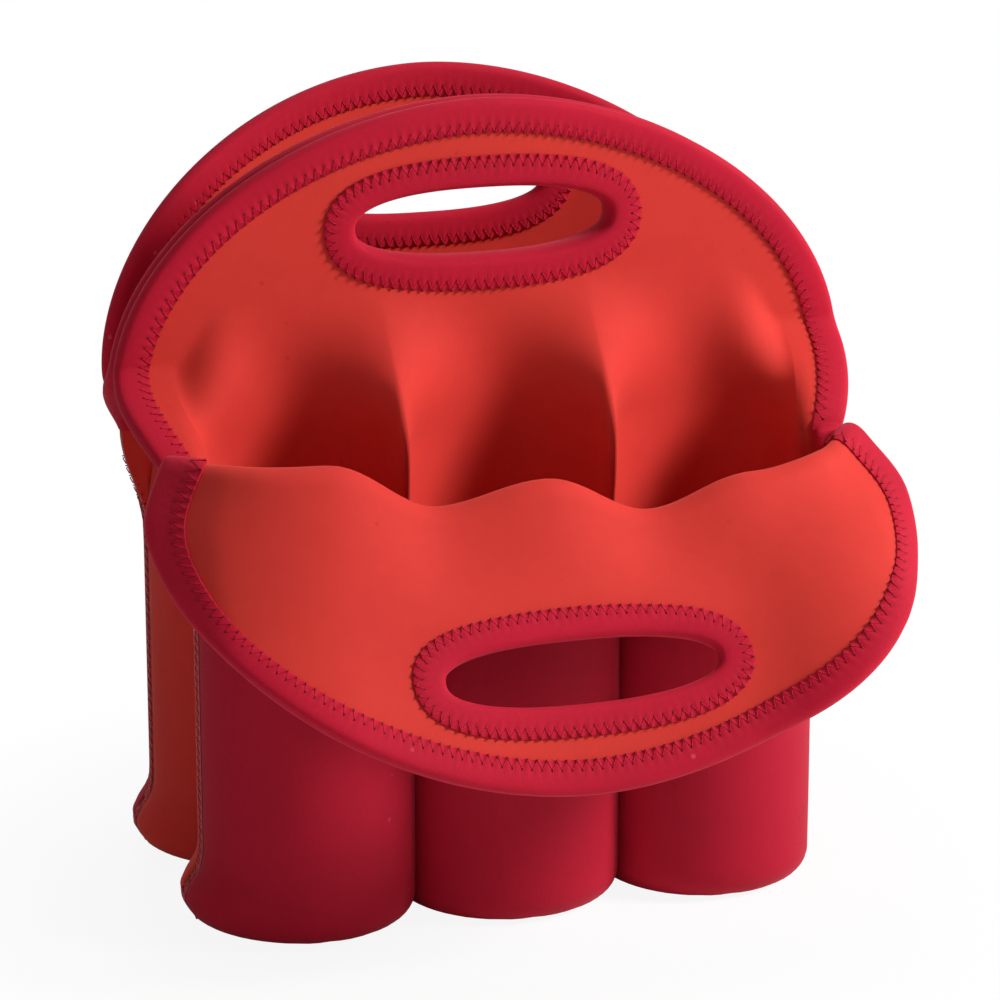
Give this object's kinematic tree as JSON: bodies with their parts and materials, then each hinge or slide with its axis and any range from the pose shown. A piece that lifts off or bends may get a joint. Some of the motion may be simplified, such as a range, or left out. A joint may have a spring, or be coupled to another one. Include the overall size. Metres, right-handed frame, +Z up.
{
  "type": "six pack carrier",
  "caption": "Soft foam-cloth carrier with two rows of round bottle pockets, arched grip handles bound with tape and a front flap that folds down.",
  "frame": {"origin": "on the ground below the middle of the whole carrier's bounding box", "axes": "+Z up, +X along the rows of pockets to the right as seen from the front, +Y from the flap side to the rear handle"},
  "size_m": [0.2516, 0.1896, 0.262],
  "materials": {
    "crimson_cloth": "matte knitted face of foam-backed cloth",
    "orange_cloth": "matte knitted face of foam-backed cloth",
    "binding_tape": "soft knitted tape with zigzag stitching"
  },
  "bodies": {
    "carrier": {"front_outer_sheet": "crimson_cloth", "front_mouth": "crimson_cloth", "front_inner_sheet": "orange_cloth", "rear_inner_sheet": "orange_cloth", "rear_outer_sheet": "crimson_cloth", "rear_mouth": "crimson_cloth", "middle_front_foot": "orange_cloth", "middle_rear_foot": "orange_cloth", "middle_front_foot_tape": "binding_tape", "middle_rear_foot_tape": "binding_tape"},
    "middle_handle": {"middle_front_panel": "orange_cloth", "middle_rear_panel": "orange_cloth", "middle_front_edge_tape": "binding_tape", "middle_rear_edge_tape": "binding_tape", "middle_grip_tape": "binding_tape"},
    "front_flap_body": {"front_flap": "orange_cloth", "front_flap_edge_tape": "binding_tape", "front_flap_grip_tape": "binding_tape"},
    "rear_handle_body": {"rear_handle": "crimson_cloth", "rear_handle_edge_tape": "binding_tape", "rear_handle_grip_tape": "binding_tape"}
  },
  "joints": [
    {"name": "front_flap_fold", "type": "hinge", "parent": "carrier", "child": "front_flap_body", "pos_m": [0, -0.04048, 0.1526], "axis": [-1, 0, 0], "range_deg": [-10, 165]},
    {"name": "middle_handle_bend", "type": "hinge", "parent": "carrier", "child": "middle_handle", "pos_m": [0, 0.02452, 0.19], "axis": [-1, 0, 0], "range_deg": [-15, 15], "stiffness_Nm_per_rad": 0.15},
    {"name": "rear_handle_fold", "type": "hinge", "parent": "carrier", "child": "rear_handle_body", "pos_m": [0, 0.09052, 0.165], "axis": [-1, 0, 0], "range_deg": [-10, 160], "stiffness_Nm_per_rad": 0.06}
  ]
}
